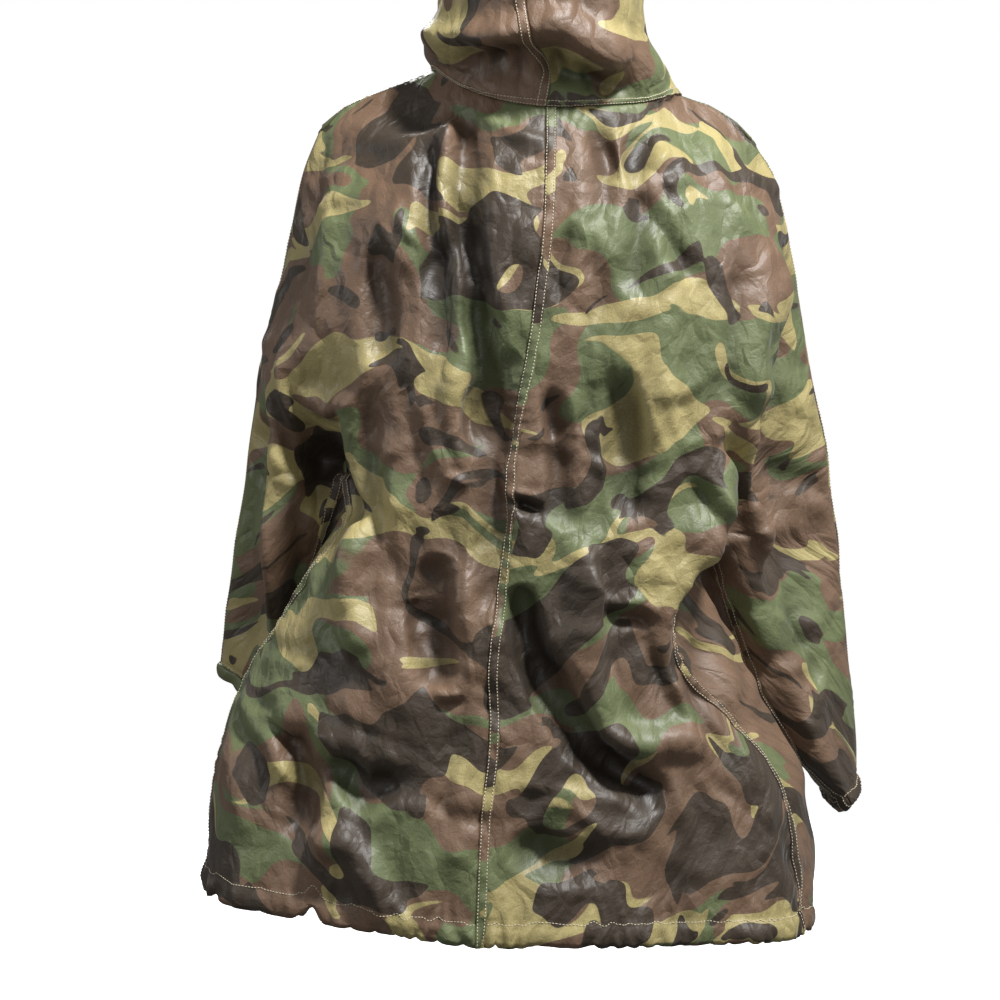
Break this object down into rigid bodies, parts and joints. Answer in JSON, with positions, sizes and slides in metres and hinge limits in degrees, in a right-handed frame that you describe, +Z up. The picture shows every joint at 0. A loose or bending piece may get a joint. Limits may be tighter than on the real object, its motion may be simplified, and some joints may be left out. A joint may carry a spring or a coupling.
{
  "type": "rain parka",
  "caption": "Long hooded rain parka with batwing sleeves cut in one with the body, filled out as worn and open at hood, cuffs and hem.",
  "frame": {"origin": "middle of the neck at the height where the shoulders carry the parka", "axes": "+Z up, the fronts face -Y, the wearer's left is +X"},
  "size_m": [0.7065, 0.3221, 1.1859],
  "materials": {
    "camouflage_cloth": "coated nylon with a satin sheen, printed in a woodland camouflage of tan, green, brown and black",
    "green_cloth": "plain olive green nylon, satin"
  },
  "bodies": {
    "root": {"back_left": "camouflage_cloth", "back_right": "camouflage_cloth", "front_left": "camouflage_cloth", "front_right": "camouflage_cloth", "hood_left": "camouflage_cloth", "hood_right": "camouflage_cloth", "front_flap": "camouflage_cloth", "cuff_tab_left": "green_cloth", "cuff_tab_right": "green_cloth"}
  },
  "joints": []
}
